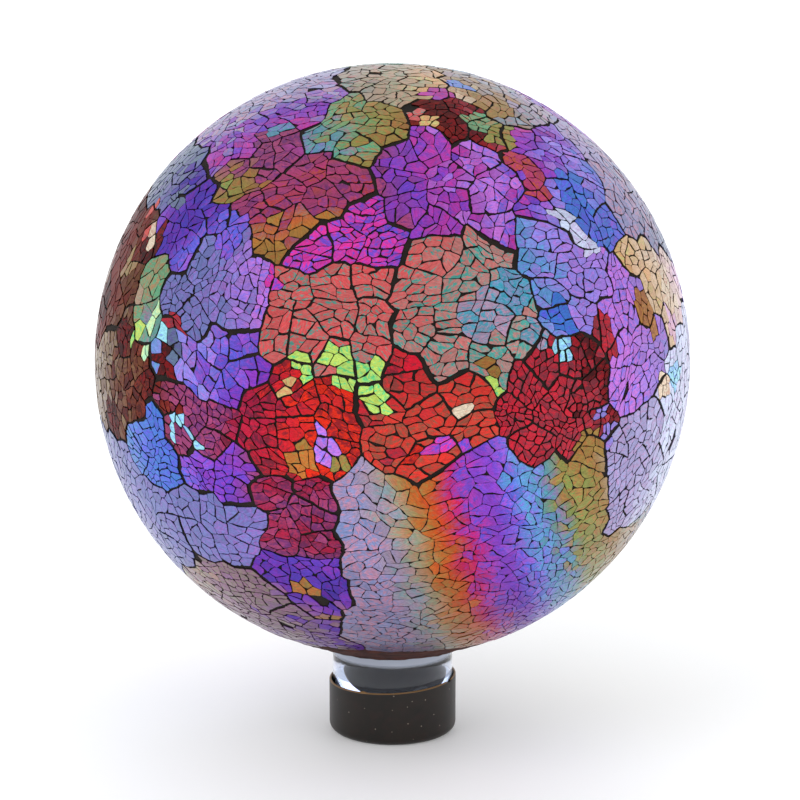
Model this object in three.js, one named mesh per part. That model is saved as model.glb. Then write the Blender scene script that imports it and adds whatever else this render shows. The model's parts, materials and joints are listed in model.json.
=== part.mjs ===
// A ten inch garden gazing globe. A clear glass ball, blown in one piece with its neck, carries a skin
// of iridescent glass tiles bedded in black grout, and a dark vinyl cap closes the neck, on which it stands.
// The glass is parted here where the neck leaves the ball, so that the space beside the neck stays open.
// The tiles come from sheets of coated glass that were crackled and laid piece by piece, so each sheet
// is one patch of the mosaic: a thin curved plate, with the grout showing between it and the next.
// Millimetres, +Z up, the origin at the centre of the cap's underside, the front towards -Y.

import * as THREE from "three";

const DEGREE = Math.PI / 180;

// Driving dimensions.
const BALL_DIAMETER = 254; // over the tiles
const NECK_DIAMETER = 52; // the clear glass neck
const CAP_DIAMETER = 55;
const CAP_HEIGHT = 24;
const NECK_SHOWN = 12.8; // from the cap's rim to the lowest point of the ball

// Walls and layers, from the outside in.
const TILE_THICKNESS = 1.2;
const BED_RADIUS = 124.3; // the grout under the tiles
const BED_THICKNESS = 0.6;
const COLLAR_RISE = 2.2; // bare grout round the neck, nearly flush with the tiles
const GLASS_WALL = 1.5;
const NECK_WALL = 1.8;
const CAP_WALL = 1.2;
const CAP_FLOOR = 1.5;
const FIT_GAP = 0.3; // between touching pieces
const PATCH_GAP = 1.6; // grout line between two patches

// Rounded shapes.
const NECK_FILLET = 2.5;
const CAP_CORNER = 3.5;
const CAP_RIM_ROUND = 0.3;
const CAP_RIM_SLANT = 0.045; // the push-on cap's rim rises towards +X, in mm per mm

// How finely the round forms are faceted.
const BALL_SEGMENTS = 28;
const BALL_RINGS = 14;
const NECK_SEGMENTS = 30;
const CORNER_STEPS = 3;
const FACET = 11 * DEGREE; // longest facet edge round a patch
const RING_STEP = 12.5 * DEGREE; // widest step between a patch's rings
const WIDEST_PATCH = 50 * DEGREE; // no patch reaches this far from its centre

// Where the collar of bare grout lies, as angles from the ball's lowest point.
const COLLAR_OUTER = 28.8 * DEGREE;
const COLLAR_INNER = 13.5 * DEGREE;
const BARE_REACH = 31; // degrees from the lowest point that the patches leave bare

const BALL_RADIUS = BALL_DIAMETER / 2;
const BALL_CENTRE = CAP_HEIGHT + NECK_SHOWN + BALL_RADIUS;
const GLASS_RADIUS = BED_RADIUS - BED_THICKNESS - FIT_GAP;

// The tile films, each with the colour it mostly shows.
const FILMS = {
  cream: 0xc9b48c,
  green: 0x5f9477,
  teal: 0x4f8f97,
  olive: 0x8c7a45,
  brown: 0x6b4a2c,
  scarlet: 0xe0301c,
  ruby: 0xa3142a,
  coral: 0xc9555a,
  orange: 0xbf5f30,
  magenta: 0xb0389f,
  orchid: 0xb765c4,
  violet: 0x7c4bb5,
  blue: 0x4a68cf,
  lavender: 0x8f8fc9,
  mauve: 0x9a6a94,
  pale: 0xaebfdc,
};

// The patches: name, longitude from the front towards +X, latitude, reach and film. Angles are in degrees.
// A patch is the part of the ball nearer to its own centre than to any other, with reach as a head start,
// so that a patch of more reach pushes its outline further towards its neighbours.
const PATCHES = [
  ["cream_crown", 15, 79, 11, "cream"],
  ["green_crown", -16, 62, 10, "green"],
  ["violet_crown", -66, 62, 16, "violet"],
  ["rose_shoulder", -41, 52, 8, "magenta"],
  ["teal_shoulder", -73, 42, 10, "teal"],
  ["ember_oval", -24, 43, 10, "orange"],
  ["magenta_ridge", -12, 35, 7, "magenta"],
  ["magenta_field", 15, 48, 13, "magenta"],
  ["ruby_crown", 26, 61, 9, "ruby"],
  ["olive_crown", 58, 71, 11, "olive"],
  ["blue_slope", 53, 46, 12, "blue"],
  ["grey_rim", 78, 40, 13, "pale"],
  ["indigo_chip", -56, 34, 7, "violet"],
  ["lavender_field", -39, 23, 9, "lavender"],
  ["cyan_field", -37, 11, 8, "blue"],
  ["brown_rim", -78, 22, 15, "brown"],
  ["green_left", -57, 20, 6, "green"],
  ["olive_left", -64, 2, 11, "olive"],
  ["ruby_left", -38, -1, 7, "ruby"],
  ["scarlet_band", -17, 2, 9, "scarlet"],
  ["coral_field", -11, 21, 12, "coral"],
  ["coral_teal", 16, 22, 13, "coral"],
  ["blue_field", 37, 24, 9, "blue"],
  ["scarlet_middle", 4, 3, 10, "scarlet"],
  ["ruby_right", 32, 4, 11, "ruby"],
  ["orchid_field", 51, 12, 10, "orchid"],
  ["cream_rim", 68, 20, 7, "cream"],
  ["pale_rim", 76, -4, 13, "pale"],
  ["lavender_right", 52, -13, 9, "lavender"],
  ["blue_strip", -54, -9, 7, "blue"],
  ["violet_strip", -36, -9, 5, "violet"],
  ["crimson_chip", -17, -18, 7, "ruby"],
  ["lavender_low", -37, -23, 9, "lavender"],
  ["slate_rim", -66, -25, 13, "teal"],
  ["violet_chip", -21, -33, 7, "violet"],
  ["rainbow_left", -1, -17, 11, "lavender"],
  ["rainbow_middle", 16, -17, 11, "violet"],
  ["rainbow_right", 36, -18, 12, "green"],
  ["rainbow_low", 10, -42, 14, "blue"],
  ["rainbow_rim", 47, -42, 13, "lavender"],
  ["mauve_low", -43, -47, 14, "mauve"],
  ["back_crown", 165, 68, 18, "teal"],
  ["back_orchid", 118, 52, 17, "orchid"],
  ["back_violet", -118, 50, 17, "violet"],
  ["back_coral", 178, 38, 15, "coral"],
  ["back_scarlet", 146, 22, 18, "scarlet"],
  ["back_lavender", -150, 20, 17, "lavender"],
  ["back_blue", 106, 12, 16, "blue"],
  ["back_magenta", -112, 12, 18, "magenta"],
  ["back_ruby", 174, 4, 13, "ruby"],
  ["back_olive", 110, -26, 18, "olive"],
  ["back_green", 146, -20, 16, "green"],
  ["back_ember", -144, -18, 18, "orange"],
  ["back_teal", -104, -25, 17, "teal"],
  ["back_mauve", 176, -34, 18, "mauve"],
  ["back_indigo", -135, -50, 16, "blue"],
];

function direction(longitude, latitude) {
  const flat = Math.cos(latitude * DEGREE);
  return new THREE.Vector3(
    Math.sin(longitude * DEGREE) * flat,
    -Math.cos(longitude * DEGREE) * flat,
    Math.sin(latitude * DEGREE),
  );
}

// Points of an arc in a turned profile, as [radius, height] pairs, with the angle from straight up.
function arc(centreRadius, centreHeight, radius, from, to, steps) {
  const points = [];
  for (let i = 0; i <= steps; i++) {
    const angle = from + ((to - from) * i) / steps;
    points.push([
      centreRadius + radius * Math.sin(angle),
      centreHeight + radius * Math.cos(angle),
    ]);
  }
  return points;
}

// A solid of revolution about Z. The profile runs from axis to axis, with the material on its left.
function turned(profile, segments) {
  const points = profile.map(([radius, height]) => new THREE.Vector2(radius, height));
  return new THREE.LatheGeometry(points, segments).rotateX(Math.PI / 2);
}

// The angles of the ball's rings. The glass and the grout share them, so that their facets stay parallel.
const tiledAngles = [];
for (let i = 0; i <= BALL_RINGS; i++) tiledAngles.push(((Math.PI - COLLAR_OUTER) * i) / BALL_RINGS);
const collarAngles = [
  Math.PI - COLLAR_OUTER,
  Math.PI - (COLLAR_OUTER + COLLAR_INNER) / 2,
  Math.PI - COLLAR_INNER,
];
const ringAngles = [...tiledAngles, ...collarAngles.slice(1)];

function ballRings(radius, angles = ringAngles) {
  return angles.map((angle) => [
    radius * Math.sin(angle),
    BALL_CENTRE + radius * Math.cos(angle),
  ]);
}

// The ball is parted from its neck along a cone, with half of the gap on either side of the cut.
const cutAngle = Math.PI - COLLAR_INNER;
const halfCut = FIT_GAP / 2 / GLASS_RADIUS;

function glassBall() {
  const angles = [...ringAngles.slice(0, -1), cutAngle - halfCut];
  return turned(
    [
      ...ballRings(GLASS_RADIUS - GLASS_WALL, angles),
      ...ballRings(GLASS_RADIUS, angles).reverse(),
    ],
    BALL_SEGMENTS,
  );
}

function glassNeck() {
  const neck = NECK_DIAMETER / 2;
  const bore = neck - NECK_WALL;
  const neckEnd = CAP_CORNER + FIT_GAP; // clear of the rounded corner inside the cap
  const innerRadius = GLASS_RADIUS - GLASS_WALL;
  const filletCentre = neck + NECK_FILLET;
  const filletAngle = Math.asin(filletCentre / (GLASS_RADIUS + NECK_FILLET));
  const filletHeight = BALL_CENTRE - filletCentre / Math.tan(filletAngle);
  const fillet = arc(filletCentre, filletHeight, NECK_FILLET, -filletAngle, -Math.PI / 2, CORNER_STEPS);
  const boreTop = BALL_CENTRE - Math.sqrt(innerRadius ** 2 - bore ** 2);
  const root = [cutAngle + halfCut];
  const start = [bore, boreTop];
  return turned(
    [
      start,
      [bore, neckEnd],
      [neck, neckEnd],
      ...fillet.reverse(),
      ...ballRings(GLASS_RADIUS, root),
      ...ballRings(innerRadius, root),
      start,
    ],
    BALL_SEGMENTS,
  );
}

function groutBed() {
  return turned(
    [
      ...ballRings(BED_RADIUS - BED_THICKNESS),
      ...ballRings(BED_RADIUS + COLLAR_RISE, collarAngles).reverse(),
      ...ballRings(BED_RADIUS, tiledAngles).reverse(),
    ],
    BALL_SEGMENTS,
  );
}

function neckCap() {
  const outer = CAP_DIAMETER / 2;
  const inner = outer - CAP_WALL;
  const innerCorner = CAP_CORNER - CAP_WALL;
  const round = CAP_RIM_ROUND;
  const corner = (reach, floor, radius) =>
    arc(reach - radius, floor + radius, radius, Math.PI / 2, Math.PI, CORNER_STEPS);
  const geometry = turned(
    [
      [0, 0],
      ...corner(outer, 0, CAP_CORNER).reverse(),
      [outer, CAP_HEIGHT - round],
      [outer - round, CAP_HEIGHT],
      [inner + round, CAP_HEIGHT],
      [inner, CAP_HEIGHT - round],
      ...corner(inner, CAP_FLOOR, innerCorner),
      [0, CAP_FLOOR],
    ],
    NECK_SEGMENTS,
  );
  const position = geometry.attributes.position;
  for (let i = 0; i < position.count; i++) {
    if (position.getZ(i) < CAP_HEIGHT / 2) continue;
    position.setZ(i, position.getZ(i) + CAP_RIM_SLANT * position.getX(i));
  }
  return geometry;
}

// Keeps the part of a polygon where a x + b y + c is not above zero.
function clipped(polygon, a, b, c) {
  const side = ([x, y]) => a * x + b * y + c;
  const kept = [];
  polygon.forEach((point, i) => {
    const next = polygon[(i + 1) % polygon.length];
    const here = side(point);
    const there = side(next);
    if (here <= 0) kept.push(point);
    if (here * there < 0) {
      const t = here / (here - there);
      kept.push([point[0] + t * (next[0] - point[0]), point[1] + t * (next[1] - point[1])]);
    }
  });
  return kept;
}

function centroid(polygon) {
  let area = 0;
  let x = 0;
  let y = 0;
  polygon.forEach(([x0, y0], i) => {
    const [x1, y1] = polygon[(i + 1) % polygon.length];
    const cross = x0 * y1 - x1 * y0;
    area += cross;
    x += (x0 + x1) * cross;
    y += (y0 + y1) * cross;
  });
  return [x / (3 * area), y / (3 * area)];
}

// Each patch's centre, pushed out as far as its reach gives it a head start.
const sites = PATCHES.map(([, longitude, latitude, reach]) =>
  direction(longitude, latitude).divideScalar(Math.cos(reach * DEGREE)),
);
const bareSite = new THREE.Vector3(0, 0, -1 / Math.cos(BARE_REACH * DEGREE));

// A patch's outline on the plane that touches the ball at the patch's centre. Straight lines there are
// great circles on the ball, so the outline is a square cut back by one line for each neighbour.
function outline(site, east, north) {
  const out = site.clone().normalize();
  const wide = Math.tan(WIDEST_PATCH);
  let polygon = [[-wide, -wide], [wide, -wide], [wide, wide], [-wide, wide]];
  for (const other of [...sites, bareSite]) {
    if (other === site) continue;
    const towards = other.clone().sub(site);
    const half = (PATCH_GAP / 2 / BALL_RADIUS) * towards.length();
    polygon = clipped(polygon, towards.dot(east), towards.dot(north), towards.dot(out) + half);
  }
  return polygon;
}

// The outline with its long edges divided, so that a plate can follow the ball.
function divided(polygon) {
  const points = [];
  polygon.forEach(([x0, y0], i) => {
    const [x1, y1] = polygon[(i + 1) % polygon.length];
    const steps = Math.max(1, Math.ceil(Math.atan(Math.hypot(x1 - x0, y1 - y0)) / FACET));
    for (let k = 0; k < steps; k++)
      points.push([x0 + ((x1 - x0) * k) / steps, y0 + ((y1 - y0) * k) / steps]);
  });
  return points;
}

// A curved plate of even thickness under a patch's outline: rings round its middle, outside and inside.
function patchPlate(site) {
  const out = site.clone().normalize();
  const east = new THREE.Vector3(0, 0, 1).cross(out).normalize();
  const north = out.clone().cross(east);
  const rim = divided(outline(site, east, north));
  const [middleX, middleY] = centroid(rim);
  const far = Math.max(...rim.map(([x, y]) => Math.hypot(x - middleX, y - middleY)));
  const rings = Math.ceil(Math.atan(far) / RING_STEP);
  const count = rim.length;
  const vertices = [];
  const faces = [];
  const layer = 1 + rings * count;
  for (const radius of [BALL_RADIUS, BALL_RADIUS - TILE_THICKNESS]) {
    for (let ring = 0; ring <= rings; ring++) {
      const share = ring / rings;
      const loop = ring === 0 ? [[middleX, middleY]] : rim;
      for (const [x, y] of loop) {
        const point = out
          .clone()
          .addScaledVector(east, middleX + (x - middleX) * share)
          .addScaledVector(north, middleY + (y - middleY) * share)
          .setLength(radius);
        vertices.push(point.x, point.y, point.z + BALL_CENTRE);
      }
    }
  }
  const at = (ring, i) => 1 + (ring - 1) * count + (i % count);
  const face = (a, b, c) => {
    faces.push(a, b, c);
    faces.push(layer + a, layer + c, layer + b);
  };
  for (let i = 0; i < count; i++) {
    face(0, at(1, i), at(1, i + 1));
    for (let ring = 1; ring < rings; ring++) {
      face(at(ring, i), at(ring + 1, i), at(ring + 1, i + 1));
      face(at(ring, i), at(ring + 1, i + 1), at(ring, i + 1));
    }
    const [a, b] = [at(rings, i), at(rings, i + 1)];
    faces.push(a, layer + a, layer + b);
    faces.push(a, layer + b, b);
  }
  const geometry = new THREE.BufferGeometry();
  geometry.setAttribute("position", new THREE.Float32BufferAttribute(vertices, 3));
  geometry.setIndex(faces);
  geometry.computeVertexNormals();
  return geometry;
}

function named(name, geometry, settings) {
  const mesh = new THREE.Mesh(geometry, new THREE.MeshStandardMaterial(settings));
  mesh.name = name;
  return mesh;
}

const CLEAR_GLASS = { color: 0xdfe8f5, roughness: 0.05, metalness: 0, transparent: true, opacity: 0.35 };

const globe = new THREE.Group();
globe.add(
  named("glass_ball", glassBall(), CLEAR_GLASS),
  named("glass_neck", glassNeck(), CLEAR_GLASS),
  named("grout_bed", groutBed(), { color: 0x1a1310, roughness: 0.8, metalness: 0 }),
  named("neck_cap", neckCap(), { color: 0x231c17, roughness: 0.45, metalness: 0 }),
);
PATCHES.forEach(([name, , , , film], i) => {
  const look = { color: FILMS[film], roughness: 0.2, metalness: 0.3, flatShading: true };
  globe.add(named("patch_" + name, patchPlate(sites[i]), look));
});

export default globe;
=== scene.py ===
import json
import math
import random

import bpy
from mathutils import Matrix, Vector, kdtree, noise


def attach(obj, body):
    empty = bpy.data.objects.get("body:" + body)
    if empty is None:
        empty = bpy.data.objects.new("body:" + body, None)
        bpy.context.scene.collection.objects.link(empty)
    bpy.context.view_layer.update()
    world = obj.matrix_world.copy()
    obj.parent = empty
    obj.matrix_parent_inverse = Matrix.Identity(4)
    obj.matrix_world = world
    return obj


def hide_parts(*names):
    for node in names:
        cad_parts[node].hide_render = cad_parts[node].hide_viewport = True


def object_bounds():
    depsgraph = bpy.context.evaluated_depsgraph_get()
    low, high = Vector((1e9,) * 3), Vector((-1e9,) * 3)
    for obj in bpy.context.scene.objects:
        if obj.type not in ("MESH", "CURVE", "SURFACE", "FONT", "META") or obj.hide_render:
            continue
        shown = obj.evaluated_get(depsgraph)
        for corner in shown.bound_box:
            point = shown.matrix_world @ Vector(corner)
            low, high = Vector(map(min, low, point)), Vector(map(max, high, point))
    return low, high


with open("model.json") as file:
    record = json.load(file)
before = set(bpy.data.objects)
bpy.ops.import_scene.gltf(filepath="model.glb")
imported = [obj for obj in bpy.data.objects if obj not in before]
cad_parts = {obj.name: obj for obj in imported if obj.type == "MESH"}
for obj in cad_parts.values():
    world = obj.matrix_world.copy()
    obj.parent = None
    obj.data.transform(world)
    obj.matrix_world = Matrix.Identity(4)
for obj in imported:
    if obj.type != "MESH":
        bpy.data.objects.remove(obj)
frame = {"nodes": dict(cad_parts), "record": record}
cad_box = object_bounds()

# The globe's own sizes, in metres, as in the part's source.
BALL_RADIUS = 0.127
CAP_HEIGHT = 0.024
CAP_RADIUS = 0.0275
NECK_SHOWN = 0.0128
NECK_RADIUS = 0.026
BALL_CENTRE = Vector((0, 0, CAP_HEIGHT + NECK_SHOWN + BALL_RADIUS))
MM = 0.001

# The tiles' faces keep inside the box of the solids, whose flat facets fall a little short of the ball.
low, high = cad_box
CLEARANCE = 0.05 * MM
TILED_RADIUS = min(-low.x, high.x, -low.y, high.y, high.z - BALL_CENTRE.z) - CLEARANCE

# The camera, placed so that the ball lies where the photo has it. The PHOTO_ values are pixels.
PHOTO_SIZE = 800
PHOTO_BALL_RADIUS = 297.9
PHOTO_BALL_AT = (392.4, 361.0)
CAMERA_DISTANCE = 1.5
CAMERA_RISE = math.radians(12.8)
CAMERA_BACK = Vector((0, -math.cos(CAMERA_RISE), math.sin(CAMERA_RISE)))
CAMERA_RIGHT = Vector((1, 0, 0))
CAMERA_UP = CAMERA_BACK.cross(CAMERA_RIGHT)
FOCAL_PIXELS = PHOTO_BALL_RADIUS * math.sqrt(CAMERA_DISTANCE**2 - TILED_RADIUS**2) / TILED_RADIUS
SENSOR = 36.0


def photo_camera():
    pixel = CAMERA_DISTANCE / FOCAL_PIXELS
    across = (PHOTO_SIZE / 2 - PHOTO_BALL_AT[0]) * pixel
    down = (PHOTO_SIZE / 2 - PHOTO_BALL_AT[1]) * pixel
    aim = BALL_CENTRE + CAMERA_RIGHT * across - CAMERA_UP * down
    data = bpy.data.cameras.new("photo_camera")
    data.sensor_width = SENSOR
    data.lens = SENSOR * FOCAL_PIXELS / PHOTO_SIZE
    camera = bpy.data.objects.new("photo_camera", data)
    camera.location = BALL_CENTRE + CAMERA_BACK * CAMERA_DISTANCE
    camera.rotation_euler = (aim - camera.location).to_track_quat("-Z", "Y").to_euler()
    bpy.context.scene.collection.objects.link(camera)
    bpy.context.scene.camera = camera


def direction(longitude, latitude):
    """The direction from the ball's centre by its longitude from the front, towards +X, and its latitude."""
    longitude = math.radians(longitude)
    latitude = math.radians(latitude)
    flat = math.cos(latitude)
    return Vector((math.sin(longitude) * flat, -math.cos(longitude) * flat, math.sin(latitude)))


def seen_at(x, y):
    """The direction from the ball's centre to what the photo shows of the ball at a pixel."""
    across = x - PHOTO_BALL_AT[0]
    up = PHOTO_BALL_AT[1] - y
    off_axis = math.atan(math.hypot(across, up) / FOCAL_PIXELS)
    turn = math.asin(CAMERA_DISTANCE * math.sin(off_axis) / TILED_RADIUS) - off_axis
    sideways = (CAMERA_RIGHT * across + CAMERA_UP * up).normalized()
    return CAMERA_BACK * math.cos(turn) + sideways * math.sin(turn)


# Every film, as the colour that it mostly shows, the colour of the flecks in it and the flecks' share.
FILMS = {
    "coral": (0xDC5458, 0x46968A, 0.24),
    "salmon": (0xD06C6A, 0x3C9A90, 0.36),
    "teal_coral": (0xC87E7C, 0x48A49A, 0.42),
    "teal_blue": (0x9094C4, 0x3F9CB4, 0.45),
    "teal_pink": (0xB88CA8, 0x4A9CB4, 0.42),
    "tomato": (0xDC3C36, 0x94503E, 0.4),
    "scarlet": (0xE83A28, 0x8E1C24, 0.45),
    "red": (0xD4283A, 0x7A2030, 0.45),
    "crimson": (0xB42244, 0x6A1A36, 0.45),
    "ruby": (0xCC2C3C, 0x84303E, 0.5),
    "dark_ruby": (0x86161E, 0x3A0E12, 0.6),
    "plum": (0xA84670, 0x703070, 0.5),
    "ember": (0xB83C30, 0x9A4480, 0.45),
    "rose": (0xAC3474, 0xB8503C, 0.45),
    "flame": (0xCC4A22, 0xB86030, 0.35),
    "cerise": (0xCC2056, 0xA03AA0, 0.35),
    "orange": (0xC06C34, 0xA08040, 0.4),
    "tan": (0xB8907A, 0x949C80, 0.4),
    "olive": (0x907A3C, 0xA06838, 0.4),
    "moss": (0x7E9048, 0xA87844, 0.4),
    "brown": (0x765030, 0x5A1E18, 0.45),
    "bronze": (0x8C7036, 0x5A2A1C, 0.4),
    "rust": (0x84301E, 0x6A1412, 0.5),
    "copper": (0x9A5A34, 0xB8803C, 0.4),
    "green": (0x5AA57C, 0xA5805A, 0.4),
    "teal_grey": (0x6F9A93, 0xB8666A, 0.4),
    "teal": (0x4A9AA6, 0x7A7AB8, 0.4),
    "slate": (0x5E788C, 0x62629A, 0.4),
    "steel": (0x6C7AB4, 0x8070B8, 0.4),
    "cyan": (0x58A0CC, 0x7A84DC, 0.4),
    "azure": (0x3E7CC8, 0x5C60D8, 0.4),
    "blue": (0x5468DC, 0x9A5ED0, 0.45),
    "periwinkle": (0x8E88E4, 0xB07CD8, 0.4),
    "indigo": (0x4C40B0, 0x6C32A8, 0.4),
    "violet": (0x6846C4, 0x9040BC, 0.5),
    "purple": (0x8E44AC, 0xC43A9C, 0.5),
    "magenta": (0xB838A4, 0x5C50C8, 0.45),
    "pink": (0xE43C98, 0x7A54D4, 0.35),
    "orchid": (0xCC78D8, 0x8A7AE8, 0.35),
    "lavender": (0x7E82CC, 0xA070C4, 0.4),
    "blue_grey": (0x7E90C0, 0xC08AA4, 0.4),
    "pink_grey": (0xB08A9A, 0x7E9AA8, 0.5),
    "lilac_grey": (0x9C9CCA, 0xB090C0, 0.35),
    "mauve": (0x946088, 0x8A7A70, 0.4),
    # A pale blue-white film laid where the ball shows a painted rim reflection and painted glints.
    "ice_sheen": (0xCCD8F2, 0xC8B8E0, 0.3),
    "blush": (0xE4B4C4, 0xC8A8DC, 0.3),
    "cream": (0xE2D2BA, 0xCC9C84, 0.3),
    "peach": (0xDC9C70, 0xC8C07A, 0.35),
    # Bright films for painted glints, tiles coloured as if they mirrored the lamps: the yellow-green and the
    # pale green ones wholly, the aqua one where it lies among them.
    "glint_lime": (0xCCE068, 0x6AD88A, 0.35),
    "glint_mint": (0xB8F8CC, 0xE4F8B8, 0.4),
    "aqua": (0xA4E8F0, 0x8AB0F4, 0.35),
}

# Sheets whose colour runs on over several patches: the way that it runs, where it starts and how far it
# goes, both as shares of the ball's radius, and the films met on the way.
SHEETS = {
    "rainbow": (
        Vector((1, 0, 0.26)),
        -0.215,
        0.93,
        ["blue_grey", "blue_grey", "pink_grey", "tan", "orange", "flame", "cerise", "magenta", "violet",
         "blue", "cyan", "teal", "moss", "moss", "olive", "tan", "pink_grey"],
    ),
}

# How each patch is tiled: its films in order, or its sheet's name; the way that they run, in degrees from
# east towards north; the tiles' width and gap in mm; how many tiles break from one shard; the way that
# the tiles lie long, in degrees, and by how much.
STYLES = {
    "cream_crown": (["teal_grey", "tan", "tan", "peach"], 0, 4.8, 0.24, 9, 0, 1.2),
    "green_crown": (["teal", "green", "moss", "olive"], 20, 5.0, 0.24, 9, 30, 1.2),
    # The pale blue-white film at the start of this run is a painted rim reflection along the ball's edge.
    "violet_crown": (["ice_sheen", "lilac_grey", "blue_grey", "violet", "purple"], -35, 4.6, 0.17, 8, 35, 1.5),
    "rose_shoulder": (["moss", "olive", "plum", "plum", "purple"], 70, 4.8, 0.21, 8, 30, 1.3),
    "teal_shoulder": (["slate", "slate", "indigo"], 0, 4.6, 0.21, 8, 60, 1.3),
    "ember_oval": (["plum", "rose", "plum", "ember", "orange", "olive"], -70, 4.9, 0.21, 9, 15, 1.5),
    "magenta_ridge": (["pink", "pink", "pink", "magenta"], 30, 3.8, 0.27, 10, 10, 1.5),
    "magenta_field": (["plum", "violet", "purple", "orchid", "magenta"], 0, 5.0, 0.21, 8, 60, 1.3),
    "ruby_crown": (["rust", "dark_ruby", "ruby"], 0, 4.0, 0.21, 10, 0, 1.2),
    "olive_crown": (["cream", "olive", "pink_grey", "blue_grey"], -30, 4.8, 0.24, 9, 30, 1.3),
    "blue_slope": (["purple", "violet", "periwinkle", "azure", "blue"], -50, 4.8, 0.18, 8, -40, 1.4),
    "grey_rim": (["lilac_grey", "blue_grey", "slate"], -60, 5.0, 0.21, 8, 60, 1.2),
    "indigo_chip": (["violet", "indigo", "indigo", "blue"], -20, 5.2, 0.18, 7, 65, 1.6),
    "lavender_field": (["steel", "steel", "lavender", "orchid"], 10, 4.0, 0.18, 12, 80, 1.15),
    "cyan_field": (["cyan", "periwinkle", "blue", "violet"], -25, 5.4, 0.21, 7, -40, 1.3),
    "brown_rim": (["bronze", "dark_ruby", "rust", "brown"], 0, 5.4, 0.24, 8, 70, 1.4),
    "green_left": (["green", "green", "teal"], -40, 6.5, 0.21, 5, 40, 1.1),
    "olive_left": (["bronze", "bronze", "brown", "dark_ruby"], -10, 4.8, 0.21, 8, 80, 1.4),
    "ruby_left": (["rust", "plum", "plum", "crimson"], 0, 3.7, 0.24, 12, -30, 1.3),
    "scarlet_band": (["crimson", "red", "scarlet", "scarlet"], 0, 4.4, 0.24, 10, -35, 1.3),
    "coral_field": (["coral", "coral", "coral", "salmon"], -80, 5.7, 0.30, 8, 5, 1.4),
    "coral_teal": (["coral", "salmon", "teal_coral", "teal_coral"], -25, 5.2, 0.24, 9, 0, 1.3),
    "blue_field": (["cyan", "periwinkle", "periwinkle", "orchid"], 0, 4.7, 0.21, 8, 20, 1.2),
    "scarlet_middle": (["red", "tomato", "tomato"], -60, 5.0, 0.30, 10, 0, 1.3),
    "ruby_right": (["red", "ruby", "ruby", "dark_ruby"], 20, 3.5, 0.33, 14, 0, 1.0),
    "orchid_field": (["orchid", "orchid", "lavender"], 0, 4.6, 0.21, 8, 60, 1.2),
    "cream_rim": (["peach", "cream", "blush"], 0, 5.2, 0.24, 8, 60, 1.1),
    # The pale blue-white films of these two rim patches are a painted rim reflection.
    "pale_rim": (["ice_sheen", "ice_sheen", "lilac_grey"], 0, 4.8, 0.24, 9, 70, 1.2),
    "lavender_right": (["lilac_grey", "lilac_grey", "ice_sheen"], 0, 4.4, 0.21, 9, 40, 1.1),
    "blue_strip": (["cyan", "azure", "azure"], 0, 4.2, 0.21, 9, 0, 1.3),
    "violet_strip": (["blue", "violet", "violet", "plum"], 0, 4.2, 0.21, 9, -10, 1.3),
    "crimson_chip": (["crimson", "plum", "crimson", "plum"], -90, 4.3, 0.24, 10, 0, 1.2),
    "lavender_low": (["steel", "steel", "lavender"], -30, 5.6, 0.17, 8, 30, 1.3),
    "slate_rim": (["slate", "steel", "steel"], -20, 4.8, 0.17, 9, 40, 1.3),
    "violet_chip": (["orange", "violet", "indigo", "violet"], 80, 5.0, 0.27, 8, -20, 1.2),
    "rainbow_left": ("rainbow", 0, 6.4, 0.12, 7, 5, 1.2),
    "rainbow_middle": ("rainbow", 0, 5.8, 0.12, 8, 5, 1.6),
    "rainbow_right": ("rainbow", 0, 4.9, 0.12, 10, -20, 1.3),
    "rainbow_low": ("rainbow", 0, 4.8, 0.12, 9, 0, 1.4),
    "rainbow_rim": ("rainbow", 0, 4.4, 0.12, 10, -20, 1.4),
    "mauve_low": (["tan", "mauve", "mauve", "violet"], -30, 4.6, 0.21, 9, -20, 1.3),
    "back_crown": (["violet", "teal", "green"], 40, 6.0, 0.24, 9, 20, 1.2),
    "back_orchid": (["magenta", "orchid", "lavender"], -30, 6.0, 0.24, 9, -20, 1.3),
    "back_violet": (["indigo", "violet", "purple"], 20, 6.0, 0.24, 9, 40, 1.3),
    "back_coral": (["coral", "salmon", "teal_coral"], 10, 6.5, 0.27, 9, 10, 1.2),
    "back_scarlet": (["scarlet", "red", "ember"], 60, 6.0, 0.27, 12, -10, 1.2),
    "back_lavender": (["blue_grey", "lavender", "orchid"], 30, 5.8, 0.24, 10, 30, 1.2),
    "back_blue": (["cyan", "blue", "indigo", "violet"], 70, 6.0, 0.21, 8, 0, 1.3),
    "back_magenta": (["pink", "magenta", "purple"], -40, 6.0, 0.24, 9, 10, 1.3),
    "back_ruby": (["red", "ruby", "dark_ruby"], 0, 5.2, 0.30, 12, 0, 1.1),
    "back_olive": (["moss", "olive", "tan", "orange"], 20, 6.0, 0.24, 9, 20, 1.2),
    "back_green": (["teal", "green", "moss"], -20, 6.2, 0.21, 8, -30, 1.3),
    "back_ember": (["rose", "ember", "orange"], 50, 6.0, 0.24, 9, 10, 1.3),
    "back_teal": (["slate", "teal", "cyan"], 0, 6.0, 0.21, 9, 50, 1.3),
    "back_mauve": (["mauve", "pink_grey", "tan"], 10, 6.0, 0.24, 9, 0, 1.3),
    "back_indigo": (["violet", "indigo", "blue"], 60, 6.0, 0.21, 9, 20, 1.3),
}
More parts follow.
